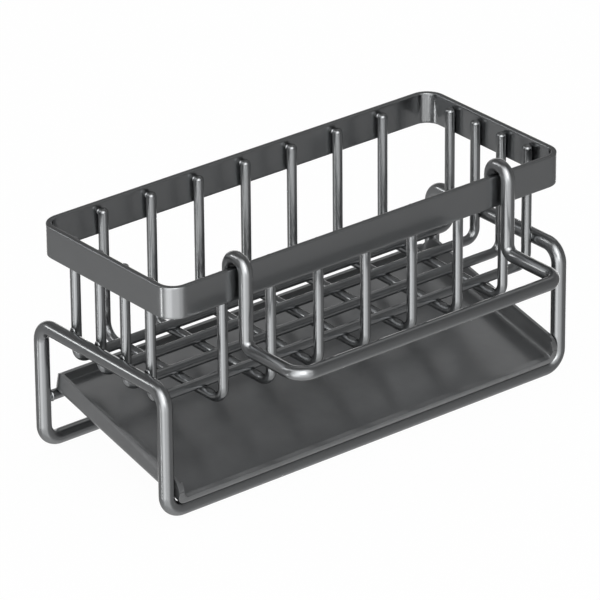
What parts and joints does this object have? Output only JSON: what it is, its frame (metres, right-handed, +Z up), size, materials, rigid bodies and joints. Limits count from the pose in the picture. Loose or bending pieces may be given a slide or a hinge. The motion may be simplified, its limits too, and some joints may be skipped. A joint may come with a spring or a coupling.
{
  "type": "kitchen sink caddy",
  "caption": "Welded wire sink basket on a bent rod base, with a sloping pull-out drip tray and a hook-on dishcloth rail.",
  "frame": {"origin": "on the counter, under the middle of the whole caddy with its rail", "axes": "+X along the caddy, to the right seen from the front; +Y from the rail in front to the back; +Z up"},
  "size_m": [0.22, 0.1312, 0.1112],
  "materials": {
    "band": "dark grey plating on flat steel strip, satin",
    "wire": "dark grey plating on round steel wire, glossy",
    "rod": "dark grey plating on round steel rod, glossy",
    "sheet": "dark grey plating on folded steel sheet, satin",
    "rail": "dark grey plating on round steel rod, glossy"
  },
  "bodies": {
    "basket": {"rim_band": "band", "cross_wire_1": "wire", "cross_wire_2": "wire", "cross_wire_3": "wire", "cross_wire_4": "wire", "cross_wire_5": "wire", "cross_wire_6": "wire", "cross_wire_7": "wire", "floor_wire_1": "wire", "floor_wire_2": "wire", "floor_wire_3": "wire", "floor_wire_4": "wire", "base_frame": "rod", "tray_rest_rod": "rod"},
    "tray": {"drip_tray": "sheet"},
    "rail": {"dishcloth_rail": "rail"}
  },
  "joints": [
    {"name": "tray_pull", "type": "slide", "parent": "basket", "child": "tray", "axis": [0, -1, 0], "range_m": [0, 0.13]},
    {"name": "rail_lift", "type": "slide", "parent": "basket", "child": "rail", "axis": [0, 0, 1], "range_m": [0, 0.045]}
  ]
}
